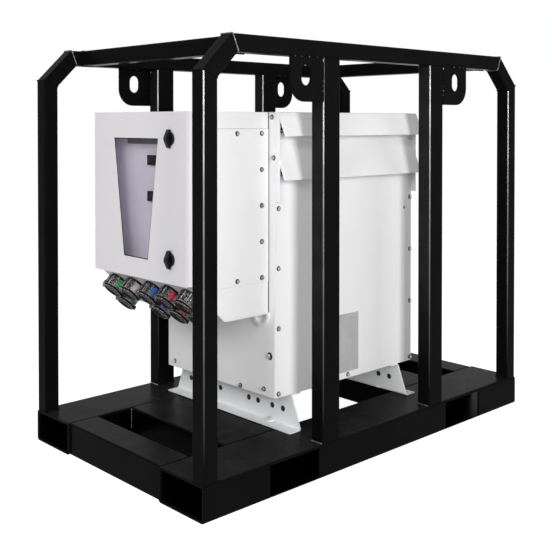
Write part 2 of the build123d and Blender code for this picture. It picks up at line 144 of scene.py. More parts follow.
# Weld beads
BEAD_RADIUS = 0.0040
MITRE_BEAD_RADIUS = 0.0026
LUG_BEAD_RADIUS = 0.0024
LUG_GLINT_RADIUS = 0.0028
LUG_SIDE_GLINTS = ((0.02, 0.11), (0.50, 0.54), (0.61, 0.66), (0.73, 0.77))
LUG_TOP_GLINTS = ((0.18, 0.22), (0.42, 0.48), (0.66, 0.70), (0.86, 0.90))
SEAM_BEAD_RADIUS = 0.0022
BEAD_STEP = 0.0021
BEAD_PITCH = 0.0062
BEAD_SIDES = 8
BEAD_RIPPLE_SHARE = 0.22
BEAD_END_SHARE = 0.4
BEAD_UNEVEN = (0.94, 1.06)
MID_BEAD_INSET = 0.004
MITRE_SEAM_SPAN = (0.070, 0.004)
SEAM_DROP = 0.002
MID_POST_LENGTH = 0.075
CROSS_TUBE_EDGES = (0.317, 0.520)
LUG_PLATE = 0.0080

# Woven wire behind the louvres
WIRE_PITCH = 0.0125
WIRE_RADIUS = 0.0012
WIRE_SIDES = 6

# Connectors
COVER_RADIUS = 0.032
COVER_LENGTH = 0.048
COLUMNS = 5
ROUND = 48


def node_names(*starts):
    """CAD nodes whose names start with one of the words."""
    return [name for name in frame["nodes"] if name.startswith(starts)]


# Materials


def node_adder(tree):
    """Helper that adds a node to a tree and sets its values."""

    def add(kind, **settings):
        node = tree.nodes.new(kind)
        for key, value in settings.items():
            setattr(node, key, value)
        return node

    return add


def new_material(name):
    """Node material, with its tree, its shader and a helper that adds nodes."""
    material = bpy.data.materials.new(name)
    material.use_nodes = True
    tree = material.node_tree
    return material, tree, tree.nodes["Principled BSDF"], node_adder(tree)


def object_noise(tree, add, scale, detail):
    """Noise in the object's own space."""
    place = add("ShaderNodeTexCoord")
    noise = add("ShaderNodeTexNoise")
    noise.inputs["Scale"].default_value = scale
    noise.inputs["Detail"].default_value = detail
    tree.links.new(place.outputs["Object"], noise.inputs["Vector"])
    return noise


def ramp(tree, add, source, low, high, band=NOISE_BAND):
    """Colour that follows a noise across a band of its values."""
    node = add("ShaderNodeValToRGB")
    node.color_ramp.elements[0].position = band[0]
    node.color_ramp.elements[0].color = (*low, 1)
    node.color_ramp.elements[1].position = band[1]
    node.color_ramp.elements[1].color = (*high, 1)
    tree.links.new(source, node.inputs["Fac"])
    return node


def remap(tree, add, source, span, low=0.0, high=1.0):
    """Number that goes from low to high while the source goes through a span."""
    node = add("ShaderNodeMapRange")
    for key, value in (("From Min", span[0]), ("From Max", span[1]), ("To Min", low), ("To Max", high)):
        node.inputs[key].default_value = value
    tree.links.new(source, node.inputs["Value"])
    return node.outputs["Result"]


def finish(name, low, high, rough, patch, grain, bump, edge=0.0, specular=0.5, metallic=0.0):
    """Coloured finish with patchy colour and gloss and fine grain; an edge above zero rounds its edges."""
    material, tree, shader, add = new_material(name)
    patches = object_noise(tree, add, patch, PATCH_DETAIL).outputs["Fac"]
    colour = ramp(tree, add, patches, low, high)
    tree.links.new(colour.outputs["Color"], shader.inputs["Base Color"])
    tree.links.new(remap(tree, add, patches, NOISE_BAND, *rough), shader.inputs["Roughness"])
    fine = object_noise(tree, add, grain, GRAIN_DETAIL)
    relief = add("ShaderNodeBump")
    relief.inputs["Strength"].default_value = bump
    relief.inputs["Distance"].default_value = GRAIN_DEPTH
    tree.links.new(fine.outputs["Fac"], relief.inputs["Height"])
    if edge > 0:
        rounding = add("ShaderNodeBevel", samples=4)
        rounding.inputs["Radius"].default_value = edge
        tree.links.new(rounding.outputs["Normal"], relief.inputs["Normal"])
    tree.links.new(relief.outputs["Normal"], shader.inputs["Normal"])
    shader.inputs["Specular IOR Level"].default_value = specular
    shader.inputs["Metallic"].default_value = metallic
    return material


def dust_and_painted_light(material, highlighted=False, reflecting=False):
    """Marks on the black paint: dust with painted sheen on the deck, painted shade inside the skid, a painted
    highlight down corners, a painted reflection on faces toward the panel.
    """
    tree = material.node_tree
    shader = tree.nodes["Principled BSDF"]
    add = node_adder(tree)

    def within(source, span, low=0.0):
        return remap(tree, add, source, span, low)

    def size_of(source):
        node = add("ShaderNodeMath", operation="ABSOLUTE")
        tree.links.new(source, node.inputs[0])
        return node.outputs["Value"]

    def product(first, *others):
        for other in others:
            node = add("ShaderNodeMath", operation="MULTIPLY")
            tree.links.new(first, node.inputs[0])
            tree.links.new(other, node.inputs[1])
            first = node.outputs["Value"]
        return first

    def blend(factor, colour):
        node = add("ShaderNodeMix", data_type="RGBA")
        tree.links.new(factor, node.inputs["Factor"])
        tree.links.new(shader.inputs["Base Color"].links[0].from_socket, node.inputs[6])
        node.inputs[7].default_value = (*colour, 1)
        tree.links.new(node.outputs[2], shader.inputs["Base Color"])

    place, normal = add("ShaderNodeSeparateXYZ"), add("ShaderNodeSeparateXYZ")
    tree.links.new(add("ShaderNodeTexCoord").outputs["Object"], place.inputs["Vector"])
    tree.links.new(add("ShaderNodeNewGeometry").outputs["Normal"], normal.inputs["Vector"])
    height = place.outputs["Z"]
    patches = object_noise(tree, add, MARK_PATCH_SCALE, MARK_PATCH_DETAIL).outputs["Fac"]
    # Dust on faces looking up above the deck, partly dust and partly painted sheen
    upward = product(within(normal.outputs["Z"], UPWARD_SPAN), within(height, DECK_SPAN))
    blend(product(upward, within(patches, DUST_AND_SHEEN_BAND, DUST_AND_SHEEN_LEAST)), DUST_AND_SHEEN)
    # Painted shade on the faces below the deck and inside the skid's outline
    inside = within(height, DECK_SPAN[::-1])
    for axis, reach in zip("XY", SKID_REACH):
        inside = product(inside, within(size_of(place.outputs[axis]), (reach, reach - SKID_EDGE)))
    blend(inside, PAINTED_SHADE)
    panel_side = within(normal.outputs["X"], PANEL_SPAN)
    # Painted reflection of the white panel on faces turned toward it, between two heights
    if reflecting:
        reflection = product(within(panel_side, REFLECTION_FACING), within(height, REFLECTION_SPAN))
        blend(product(reflection, within(patches, NOISE_BAND, REFLECTION_LEAST)), PAINTED_REFLECTION)
    # Painted highlight down the corners on the panel side, stronger higher up, made lighter and metallic
    if highlighted:
        corner = product(within(panel_side, CORNER_IN), within(panel_side, CORNER_OUT))
        corner = product(corner, within(size_of(normal.outputs["Y"]), CORNER_ACROSS))
        highlight = product(corner, within(height, HIGHLIGHT_SPAN), within(patches, NOISE_BAND, HIGHLIGHT_LEAST))
        blend(highlight, PAINTED_HIGHLIGHT)
        tree.links.new(highlight, shader.inputs["Metallic"])


def clear(name, low, high, alpha, rough, patch=60.0, band=NOISE_BAND, specular=0.5):
    """Clear plastic: patchy tint and gloss, partly see-through; a narrow band gives sharp light and dark
    streaks, used as painted glints and refraction.
    """
    material, tree, shader, add = new_material(name)
    patches = object_noise(tree, add, patch, CLEAR_DETAIL).outputs["Fac"]
    colour = ramp(tree, add, patches, low, high, band)
    tree.links.new(colour.outputs["Color"], shader.inputs["Base Color"])
    tree.links.new(remap(tree, add, patches, NOISE_BAND, *rough), shader.inputs["Roughness"])
    shader.inputs["Alpha"].default_value = alpha
    shader.inputs["Specular IOR Level"].default_value = specular
    return material


def moulded(name, low, high):
    """Glossy moulded plastic."""
    return finish(name, low, high, (0.25, 0.38), 90.0, 1400.0, 0.06)


def black(name):
    """Satin black paint of the skid and cage."""
    return finish(
        name, (0.0034, 0.0034, 0.0036), (0.0048, 0.0048, 0.0050), (0.24, 0.34),
        6.0, 600.0, 0.10, edge=0.005, specular=0.010,
    )


black_paint = black("black_paint")
dust_and_painted_light(black_paint)
# Posts with a painted highlight down their corners; the mid posts also get a painted reflection
post_paint = black("post_paint")
dust_and_painted_light(post_paint, highlighted=True)
mid_post_paint = black("mid_post_paint")
dust_and_painted_light(mid_post_paint, highlighted=True, reflecting=True)
# Lighter bare metal for welds that show glints: painted glints
weld_glint_metal = finish(
    "weld_glint_metal", (0.01, 0.01, 0.01), (0.26, 0.26, 0.26), (0.22, 0.36), 240.0, 900.0, 0.2, metallic=1.0
)
white_coat = finish(
    "white_coat", (0.845, 0.843, 0.852), (0.875, 0.873, 0.882), (0.34, 0.44),
    3.0, 1100.0, 0.06, edge=0.0016, specular=0.3,
)
# Darker copy of the white coat for the wireway, the connector plate and the lips, where more light falls:
# painted shade
painted_shade_white = finish(
    "painted_shade_white", (0.785, 0.785, 0.79), (0.815, 0.815, 0.82), (0.34, 0.44),
    3.0, 1100.0, 0.06, edge=0.0016, specular=0.3,
)
door_coat = finish(
    "door_coat", (0.850, 0.833, 0.862), (0.880, 0.863, 0.892), (0.34, 0.44),
    3.0, 1100.0, 0.06, edge=0.0016, specular=0.3,
)
foot_coat = finish(
    "foot_coat", (0.80, 0.82, 0.825), (0.85, 0.865, 0.87), (0.38, 0.50),
    9.0, 900.0, 0.08, edge=0.0018, specular=0.3,
)
grey_coat = finish(
    "grey_coat", (0.79, 0.742, 0.875), (0.83, 0.779, 0.918), (0.45, 0.55), 4.0, 900.0, 0.05, specular=0.3
)
# Grey of the strip across the dead front's top: painted shadow
painted_shadow_grey = finish(
    "painted_shadow_grey", (0.17, 0.165, 0.18), (0.24, 0.23, 0.25), (0.45, 0.6), 12.0, 900.0, 0.05, specular=0.2
)
plate_metal = finish(
    "plate_metal", (0.40, 0.40, 0.40), (0.47, 0.47, 0.465), (0.42, 0.55), 25.0, 1500.0, 0.05, specular=0.4
)
black_plastic = finish(
    "black_plastic", (0.004, 0.004, 0.005), (0.008, 0.008, 0.009), (0.22, 0.38),
    30.0, 1600.0, 0.12, specular=0.16,
)
rubber = finish(
    "rubber", (0.010, 0.010, 0.010), (0.018, 0.018, 0.018), (0.6, 0.75), 40.0, 1400.0, 0.2, specular=0.2
)
zinc = finish(
    "zinc_plate", (0.14, 0.145, 0.15), (0.62, 0.63, 0.64), (0.24, 0.42), 210.0, 1500.0, 0.08, metallic=1.0
)
bolt_zinc = finish(
    "bolt_zinc", (0.45, 0.45, 0.46), (0.72, 0.72, 0.73), (0.3, 0.5), 160.0, 1500.0, 0.08, metallic=0.6
)
brass = finish(
    "brass_contact", (0.55, 0.40, 0.16), (0.66, 0.50, 0.22), (0.25, 0.38), 120.0, 1500.0, 0.05, metallic=1.0
)
screen_paint = finish(
    "screen_paint", (0.80, 0.80, 0.80), (0.88, 0.88, 0.88), (0.45, 0.6), 30.0, 900.0, 0.05
)
# Black of the board behind the wire screens: painted shade of the hood's inside
painted_shade_board = finish(
    "painted_shade_board", (0.003, 0.003, 0.003), (0.006, 0.006, 0.006), (0.7, 0.85), 14.0, 500.0, 0.2, specular=0.1
)
breaker_black = finish(
    "breaker_black", (0.003, 0.003, 0.003), (0.006, 0.006, 0.006), (0.35, 0.5),
    40.0, 1500.0, 0.1, specular=0.06,
)
clear_plastic = clear("clear_plastic", (0.30, 0.29, 0.30), (0.45, 0.44, 0.45), 0.06, (0.03, 0.08))
# Smoky plastic with sharp dark and grey streaks: a smoky tint with painted refraction
painted_streak_plastic = clear(
    "painted_streak_plastic", (0.010, 0.009, 0.010), (0.38, 0.34, 0.38), 0.80, (0.06, 0.16), 230.0, (0.42, 0.66), 0.12
)
# Sharp light and dark streaks: painted glints
painted_glint_plastic = clear(
    "painted_glint_plastic", (0.06, 0.055, 0.06), (0.95, 0.94, 0.95), 0.92, (0.05, 0.12), 260.0, (0.42, 0.58), 0.2
)
smoked = clear(
    "smoked_plastic", (0.008, 0.007, 0.007), (0.030, 0.026, 0.024), 0.93, (0.10, 0.20), 90.0, specular=0.03
)
window_sheet = clear("window_sheet", (0.06, 0.06, 0.08), (0.10, 0.10, 0.12), 0.05, (0.04, 0.09))
INSERT_FINISHES = (
    moulded("insert_black", (0.006, 0.006, 0.006), (0.012, 0.012, 0.012)),
    moulded("insert_red", (0.80, 0.020, 0.060), (0.90, 0.030, 0.085)),
    moulded("insert_blue", (0.004, 0.16, 0.72), (0.008, 0.21, 0.85)),
    moulded("insert_white", (0.90, 0.88, 0.86), (0.95, 0.93, 0.91)),
    moulded("insert_green", (0.006, 0.44, 0.10), (0.012, 0.54, 0.14)),
)


def dress(names, material):
    """Give CAD nodes a finish."""
    for name in names:
        mesh = frame["nodes"][name].data
        mesh.materials.clear()
        mesh.materials.append(material)


dress(node_names("fork_", "end_member", "corner_braces"), black_paint)
dress(node_names("corner_post_back"), black_paint)
dress(node_names("corner_post_front"), post_paint)
dress(node_names("mid_posts"), mid_post_paint)
dress(node_names("long_rails", "cross_rails", "lifting_lugs"), black_paint)
dress(node_names("case_", "louvre_"), white_coat)
dress(node_names("wireway_", "connector_plate"), painted_shade_white)
dress(node_names("panel_door"), door_coat)
dress(node_names("foot_"), foot_coat)
dress(node_names("vent_screen"), screen_paint)
dress(node_names("dead_front"), grey_coat)
dress(node_names("breakers"), breaker_black)
dress(node_names("latch_", "connector_inserts"), black_plastic)
dress(node_names("door_hinges"), zinc)
dress(node_names("window_pane"), window_sheet)
dress(node_names("connector_covers"), smoked)


# Mesh helpers


def piece(name, build, materials, body):
    """Object made from a mesh builder, riding on a body."""
    mesh = bpy.data.meshes.new(name)
    build.normal_update()
    build.to_mesh(mesh)
    build.free()
    for material in materials:
        mesh.materials.append(material)
    made = bpy.data.objects.new(name, mesh)
    bpy.context.scene.collection.objects.link(made)
    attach(made, body)
    return made


def facing(place, normal, up="Y"):
    """Matrix that puts local Z along a normal."""
    return Matrix.Translation(place) @ Vector(normal).to_track_quat("Z", up).to_matrix().to_4x4()


def lathe(build, matrix, profile, sides, smooth=True, material=0, turn=0.0):
    """Turn a profile of radius and height pairs round local Z; a radius of zero closes it."""
    rings = []
    for radius, height in profile:
        if radius == 0:
            rings.append([build.verts.new(matrix @ Vector((0, 0, height)))])
            continue
        ring = []
        for k in range(sides):
            angle = math.tau * k / sides + turn
            point = Vector((radius * math.cos(angle), radius * math.sin(angle), height))
            ring.append(build.verts.new(matrix @ point))
        rings.append(ring)
    for lower, upper in zip(rings, rings[1:]):
        for k in range(sides):
            n = (k + 1) % sides
            if len(lower) == 1:
                corners = (lower[0], upper[n], upper[k])
            elif len(upper) == 1:
                corners = (lower[k], lower[n], upper[0])
            else:
                corners = (lower[k], lower[n], upper[n], upper[k])
            face = build.faces.new(corners)
            face.smooth = smooth
            face.material_index = material


def sector(build, matrix, profile, start, end, material):
    """Turn a closed profile through part of a turn, in degrees, and close its two ends."""
    count = max(2, round((end - start) / 360 * ROUND))
    rings = []
    for k in range(count + 1):
        angle = math.radians(start + (end - start) * k / count)
        across = Vector((math.cos(angle), math.sin(angle), 0))
        points = [across * radius + Vector((0, 0, height)) for radius, height in profile[:-1]]
        rings.append([build.verts.new(matrix @ point) for point in points])
    for one, other in zip(rings, rings[1:]):
        for k in range(len(one)):
            n = (k + 1) % len(one)
            face = build.faces.new((one[k], other[k], other[n], one[n]))
            face.smooth = True
            face.material_index = material
    for ring in (rings[0], rings[-1][::-1]):
        build.faces.new(ring).material_index = material


def join(build, part):
    """Add one mesh builder to another."""
    holder = bpy.data.meshes.new("part")
    part.to_mesh(holder)
    part.free()
    build.from_mesh(holder)
    bpy.data.meshes.remove(holder)


def rounded_box(build, low, high, radius, material=0, matrix=Matrix()):
    """Box with bevelled edges."""
    low, high = Vector(low), Vector(high)
    part = bmesh.new()
    place = Matrix.Translation((low + high) / 2) @ Matrix.Diagonal((*(high - low), 1))
    bmesh.ops.create_cube(part, size=1.0, matrix=place)
    bmesh.ops.bevel(part, geom=part.edges[:], offset=radius, segments=3, affect="EDGES", profile=0.5)
    part.transform(matrix)
    for face in part.faces:
        face.material_index = material
    join(build, part)


def fastener(build, place, normal, sizes):
    """Hex head on a sealing washer, with a domed top; each one is turned a little differently."""
    washer, across, thickness, height = sizes
    matrix = facing(place, normal)
    seal = [
        (washer, 0), (washer, thickness * WASHER_RIM_SHARE),
        (across * WASHER_TOP_SHARE, thickness), (0, thickness),
    ]
    lathe(build, matrix, seal, WASHER_SIDES, material=1)
    turn = random.uniform(0, math.tau)
    head = [
        (across, thickness * HEX_SEAT_SHARE), (across, height * HEX_TOP_SHARE),
        (across * HEX_TOP_SHARE, height), (0, height * HEX_CROWN_SHARE),
    ]
    lathe(build, matrix, head, HEX_SIDES, smooth=False, turn=turn)


def bead(build, start, end, radius):
    """Weld bead: a rippled half-sunk round along a joint."""
    start, end = Vector(start), Vector(end)
    run = end - start
    count = max(2, int(run.length / BEAD_STEP))
    side = run.orthogonal().normalized()
    other = run.normalized().cross(side)
    rings = []
    for k in range(count + 1):
        share = k / count
        ripple = abs(math.sin(math.pi * share * run.length / BEAD_PITCH))
        width = radius * (1 - BEAD_RIPPLE_SHARE * (1 - ripple)) * random.uniform(*BEAD_UNEVEN)
        if k in (0, count):
            width *= BEAD_END_SHARE
        middle = start + run * share
        ring = []
        for n in range(BEAD_SIDES):
            angle = math.tau * n / BEAD_SIDES
            ring.append(build.verts.new(middle + (side * math.cos(angle) + other * math.sin(angle)) * width))
        rings.append(ring)
    for lower, upper in zip(rings, rings[1:]):
        for n in range(BEAD_SIDES):
            m = (n + 1) % BEAD_SIDES
            build.faces.new((lower[n], lower[m], upper[m], upper[n])).smooth = True
    build.faces.new(rings[0][::-1])
    build.faces.new(rings[-1])


def bead_loop(build, corners, radius):
    """Weld beads round a closed outline."""
    for start, end in zip(corners, corners[1:] + corners[:1]):
        bead(build, start, end, radius)


# Boxes of the main CAD pieces
wall_low, wall_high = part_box("case_end_left")
side_low, side_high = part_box("wireway_side_cover")
shell_low, shell_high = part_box("wireway_shell")
door_low, door_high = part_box("panel_door")
post_low, post_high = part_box("corner_post_front_left")
rails_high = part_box("long_rails")[1]
cross_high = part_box("cross_rails")[1]
lugs_low, lugs_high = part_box("lifting_lugs")
mids_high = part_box("mid_posts_front")[1]
tube_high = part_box("fork_tube_front")[1]
end_low, end_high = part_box("end_member_left")
foot_low, foot_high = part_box("foot_left")
deck = tube_high.z
case_bottom = wall_low.z
BOTH = (-1, 1)


# Screws and bolts
screws = bmesh.new()
for side in BOTH:
    face_y = side * wall_high.y
    for rise in COVER_SCREW_RISES:
        for x in (wall_low.x + COVER_SCREW_NEAR, -wall_low.x - COVER_SCREW_FAR):
            fastener(screws, (x, face_y, case_bottom + rise), (0, side, 0), SCREW)
    fastener(screws, (0, face_y, case_bottom + COVER_SCREW_RISES[0]), (0, side, 0), SCREW)
    fastener(screws, (-wall_low.x - HOOD_STUD[0], face_y, case_bottom + HOOD_STUD[1]), (0, side, 0), STUD)
for end in BOTH:
    face_x = -end * wall_low.x
    for y, rise in WALL_SCREWS + HOOD_SCREWS:
        fastener(screws, (face_x, y, case_bottom + rise), (end, 0, 0), SCREW)
    for y, rise in HOOD_SCREWS:
        fastener(screws, (face_x, -y, case_bottom + rise), (end, 0, 0), SCREW)
    fastener(screws, (face_x, WALL_PLUG[0], case_bottom + WALL_PLUG[1]), (end, 0, 0), PLUG)
side_run = side_high.z - side_low.z - SIDE_SCREW_MARGIN * 2
for k in range(SIDE_SCREW_COUNT):
    z = side_low.z + SIDE_SCREW_MARGIN + side_run * k / (SIDE_SCREW_COUNT - 1)
    for x in (side_low.x + SIDE_SCREW_INSET, side_high.x - SIDE_SCREW_INSET):
        fastener(screws, (x, side_low.y, z), (0, -1, 0), SCREW)
    if k in (0, SIDE_SCREW_COUNT - 1):
        fastener(screws, ((side_low.x + side_high.x) / 2, side_low.y, z), (0, -1, 0), SCREW)
piece("case_screws", screws, [zinc, rubber], "base")

foot_bolts = bmesh.new()
foot_plate_top = deck + FOOT_SHEET
for end in BOTH:
    for side in BOTH:
        x = end * (-foot_low.x - FOOT_BOLT_INSET)
        place = (x, side * FOOT_BOLT_SHARE * foot_high.y, foot_plate_top)
        fastener(foot_bolts, place, (0, 0, 1), BOLT)
piece("foot_bolts", foot_bolts, [bolt_zinc, foot_coat], "base")

# Dark rubber plugs in the holes of the foot webs: painted shade of the feet's dark inside
FOOT_WEB = 0.047
FOOT_HOLE_RISE = 0.054
FOOT_HOLE_REACH = 0.238
FOOT_HOLE_SHARES = (-1.0, -0.79, -0.5, -0.31, 0.31, 0.5, 0.79, 1.0)
SHADE_PLUG_PROFILE = (
    (0.0, -0.0032), (0.0080, -0.0032), (0.0094, -0.0022), (0.0063, -0.0021),
    (0.0063, 0.0021), (0.0094, 0.0022), (0.0080, 0.0032), (0.0, 0.0032),
)
SHADE_PLUG_SIDES = 20
shade_plugs = bmesh.new()
for end in BOTH:
    web = end * (-foot_low.x - FOOT_WEB)
    for share in FOOT_HOLE_SHARES:
        place = (web, share * FOOT_HOLE_REACH, deck + FOOT_HOLE_RISE)
        lathe(shade_plugs, facing(place, (end, 0, 0)), SHADE_PLUG_PROFILE, SHADE_PLUG_SIDES)
piece("foot_hole_shade_plugs", shade_plugs, [rubber], "base")

# Ledge strips that close the gap between the cross tubes and the feet
LEDGE_WIDTH = 0.014
LEDGE_HEIGHT = 0.010
LEDGE_DROP = 0.0004
ledges = bmesh.new()
for end in BOTH:
    span = sorted((end * (CROSS_TUBE_EDGES[0] - LEDGE_WIDTH), end * CROSS_TUBE_EDGES[0]))
    low = (span[0], tube_high.y, deck - LEDGE_HEIGHT)
    rounded_box(ledges, low, (span[1], -tube_high.y, deck - LEDGE_DROP), LEDGE_HEIGHT / 8)
piece("foot_ledges", ledges, [black_paint], "base")


# Weld beads on the skid and cage: lighter bare metal ones where the welds show glints, as painted glints; the
# rest painted over
glint_welds = bmesh.new()
welds = bmesh.new()
post_side = post_high.x - post_low.x
mitre = post_side * math.tan(math.pi / 8)
for side in BOTH:
    outer_y = side * rails_high.y
    inner_y = side * (rails_high.y - post_side)
    for end in BOTH:
        inner_x = end * -post_high.x
        bead(welds, (inner_x, outer_y, deck), (inner_x, inner_y, deck), BEAD_RADIUS)
        bead(welds, (inner_x, inner_y, deck), (end * -post_low.x, inner_y, deck), BEAD_RADIUS)
        mid_near = end * mids_high.x
        mid_far = end * (mids_high.x - MID_POST_LENGTH)
        for x in (mid_near, mid_far):
            bead(glint_welds, (x, outer_y - side * MID_BEAD_INSET, deck), (x, inner_y, deck), BEAD_RADIUS)
        bead(welds, (mid_near, inner_y, deck), (mid_far, inner_y, deck), BEAD_RADIUS)
        foot_joint = (end * -post_low.x, post_high.z, inner_x, post_high.z - mitre)
        head_low = rails_high.z - post_side
        head_joint = (end * rails_high.x, rails_high.z, end * (rails_high.x - mitre), head_low)
        for build, (x0, z0, x1, z1) in ((welds, foot_joint), (glint_welds, head_joint)):
            ring = [(x0, outer_y, z0), (x1, outer_y, z1), (x1, inner_y, z1), (x0, inner_y, z0)]
            bead_loop(build, ring, MITRE_BEAD_RADIUS)
        rail_x0 = end * cross_high.x
        rail_x1 = end * (cross_high.x - post_side)
        top, under = rails_high.z, rails_high.z - post_side
        corners = ((rail_x0, top), (rail_x1, top), (rail_x1, under), (rail_x0, under))
        bead_loop(welds, [(x, inner_y, z) for x, z in corners], MITRE_BEAD_RADIUS)
        for y in (side * lugs_high.y, side * (lugs_high.y - LUG_PLATE)):
            foot, corner = Vector((mid_near, y, lugs_low.z)), Vector((mid_near, y, lugs_high.z))
            tip = Vector((end * lugs_high.x, y, lugs_high.z))
            bead(welds, foot, corner, LUG_BEAD_RADIUS)
            bead(welds, corner, tip, LUG_BEAD_RADIUS)
            for ends, glints in (((corner, foot), LUG_SIDE_GLINTS), ((corner, tip), LUG_TOP_GLINTS)):
                for first, last in glints:
                    start, stop = ends[0].lerp(ends[1], first), ends[0].lerp(ends[1], last)
                    bead(glint_welds, start, stop, LUG_GLINT_RADIUS)
        seam_y = side * -tube_high.y
        far = end * CROSS_TUBE_EDGES[1]
        seam_low, seam_high = (deck - drop for drop in MITRE_SEAM_SPAN)
        bead(glint_welds, (far, seam_y, seam_low), (far, seam_y, seam_high), MITRE_BEAD_RADIUS)
        for edges in ((end * CROSS_TUBE_EDGES[0], far), (end * -end_low.x, end * -end_high.x)):
            start, stop = ((x, seam_y, deck - SEAM_DROP) for x in edges)
            bead(welds, start, stop, SEAM_BEAD_RADIUS)
piece("weld_beads", welds, [black_paint], "base")
piece("glint_weld_beads", glint_welds, [weld_glint_metal], "base")


# Woven wire screens behind the louvres


def wire(build, start, end, wave, phase, normal):
    """One woven wire: it passes over and under the crossing wires."""
    start, end, normal = Vector(start), Vector(end), Vector(normal)
    run = end - start
    across = run.normalized().cross(normal)
    count = max(2, round(run.length / WIRE_PITCH * 2))
    rings = []
    for k in range(count + 1):
        middle = start + run * (k / count) + normal * wave * math.cos(math.pi * (k / 2 + phase))
        ring = []
        for n in range(WIRE_SIDES):
            angle = math.tau * n / WIRE_SIDES
            around = normal * math.cos(angle) + across * math.sin(angle)
            ring.append(build.verts.new(middle + around * WIRE_RADIUS))
        rings.append(ring)
    for lower, upper in zip(rings, rings[1:]):
        for n in range(WIRE_SIDES):
            m = (n + 1) % WIRE_SIDES
            build.faces.new((lower[n], lower[m], upper[m], upper[n])).smooth = True


# Black board behind each screen, with folds at top and bottom: painted shade of the hood's inside
SHADE_BOARD_SETBACK = 0.030
SHADE_BOARD_FOLD = 0.018
SHADE_BOARD_SHEET = 0.002
for name, side in (("front", -1), ("back", 1)):
    low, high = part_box(f"vent_screen_{name}")
    y = (low.y + high.y) / 2
    mesh = bmesh.new()
    columns = int((high.x - low.x) / WIRE_PITCH)
    rows = int((high.z - low.z) / WIRE_PITCH)
    for k in range(columns + 1):
        x = low.x + k * WIRE_PITCH
        wire(mesh, (x, y, low.z), (x, y, low.z + rows * WIRE_PITCH), WIRE_RADIUS, k, (0, 1, 0))
    for k in range(rows + 1):
        z = low.z + k * WIRE_PITCH
        wire(mesh, (low.x, y, z), (low.x + columns * WIRE_PITCH, y, z), WIRE_RADIUS, k + 1, (0, 1, 0))
    woven = piece(f"woven_screen_{name}", mesh, [screen_paint], "base")
    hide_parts(f"vent_screen_{name}")
    shade_board = bmesh.new()
    back = y - side * SHADE_BOARD_SETBACK
    span = sorted((back, back - side * SHADE_BOARD_SHEET))
    fold = sorted((back - side * SHADE_BOARD_SHEET, back + side * SHADE_BOARD_FOLD))
    rounded_box(shade_board, (low.x, span[0], low.z), (high.x, span[1], high.z), SHADE_BOARD_SHEET / 4)
    for z in (low.z, high.z - SHADE_BOARD_SHEET):
        rounded_box(shade_board, (low.x, fold[0], z), (high.x, fold[1], z + SHADE_BOARD_SHEET), SHADE_BOARD_SHEET / 4)
    piece(f"vent_shade_board_{name}", shade_board, [painted_shade_board], "base")


# Connectors: coloured inserts under smoked flip covers
OUT = Vector((-1, 0, -1)).normalized()
UP_SLOPE = Vector((-1, 0, 1)).normalized()
FLANGE_PROFILE = (
    (0.0270, 0.0), (0.0335, 0.0), (0.0335, 0.0024), (0.0320, 0.0036), (0.0270, 0.0036), (0.0270, 0.0),
)
BARREL_WALL = (
    (0.0272, 0.0036), (0.0310, 0.0036), (0.0305, 0.0200),
    (0.0305, 0.0372), (0.0272, 0.0372), (0.0272, 0.0036),
)
CLEAR_FROM = {"upper": 131.0, "lower": 102.0}
CLEAR_TO = 205.0
LID_RING = (
    (0.0280, 0.0372), (0.0322, 0.0372), (0.0330, 0.0382), (0.0330, 0.0424), (0.0318, 0.0448),
    (0.0290, 0.0462), (0.0262, 0.0462), (0.0262, 0.0372), (0.0280, 0.0372),
)
LID_EDGE = ((0.0314, 0.0444), (0.0322, 0.0452), (0.0312, 0.0456), (0.0306, 0.0450), (0.0314, 0.0444))
LID_DISC = (
    (0.0262, 0.0440), (0.0225, 0.0440), (0.0215, 0.0452), (0.0185, 0.0452), (0.0175, 0.0440), (0.0, 0.0440),
)
RIM_RING = ((0.0322, 0.0366), (0.0334, 0.0372), (0.0322, 0.0378))
SLEEVE_PROFILE = (
    (0.0150, 0.0036), (0.0150, 0.0400), (0.0140, 0.0420), (0.0095, 0.0420),
    (0.0090, 0.0405), (0.0090, 0.0280), (0.0, 0.0280),
)
COLLAR_PROFILE = ((0.0250, 0.0), (0.0250, 0.0024), (0.0235, 0.0036), (0.0, 0.0036))
PIN_PROFILE = ((0.0050, 0.0280), (0.0050, 0.0375), (0.0040, 0.0385), (0.0, 0.0385))
SLEEVE_SHIFT = Vector((0, -0.0045, 0))
PIN_SIDES = 24

# Finishes of a cover, in the order of its materials
CLEAR, GLINT, BODY, DARK = range(4)
COVER_FINISHES = [clear_plastic, painted_glint_plastic, painted_streak_plastic, smoked]

# Ribs along the barrel: angle in degrees and finish; glint ribs are painted highlight lines, dark ribs
# painted refraction streaks
RIB_TURNS = (
    (62.0, GLINT), (78.0, DARK), (94.0, GLINT), (116.0, DARK), (136.0, GLINT), (206.0, GLINT), (222.0, DARK),
)
RIB_WIDTH = 0.0018
RIB_RADII = (0.0300, 0.0317)
RIB_SPAN = (0.0040, 0.0370)
RIB_EDGE = 0.0004

# Hinge and catch of the lid: the angle in degrees, then each block's low corner, high corner, edge and finish
HINGE_TURN = 48.0
HINGE_BLOCKS = (
    ((0.0295, -0.012, 0.0050), (0.0365, 0.012, 0.0300), 0.0022, BODY),
    ((0.0290, -0.015, 0.0300), (0.0385, -0.005, 0.0465), 0.0028, BODY),
    ((0.0290, 0.005, 0.0300), (0.0385, 0.015, 0.0465), 0.0028, BODY),
    ((0.0300, -0.005, 0.0310), (0.0375, 0.005, 0.0440), 0.0022, GLINT),
    ((-0.0375, -0.007, 0.0330), (-0.0315, 0.007, 0.0450), 0.0020, DARK),
)
MISSING = {"upper": (), "lower": (3,)}


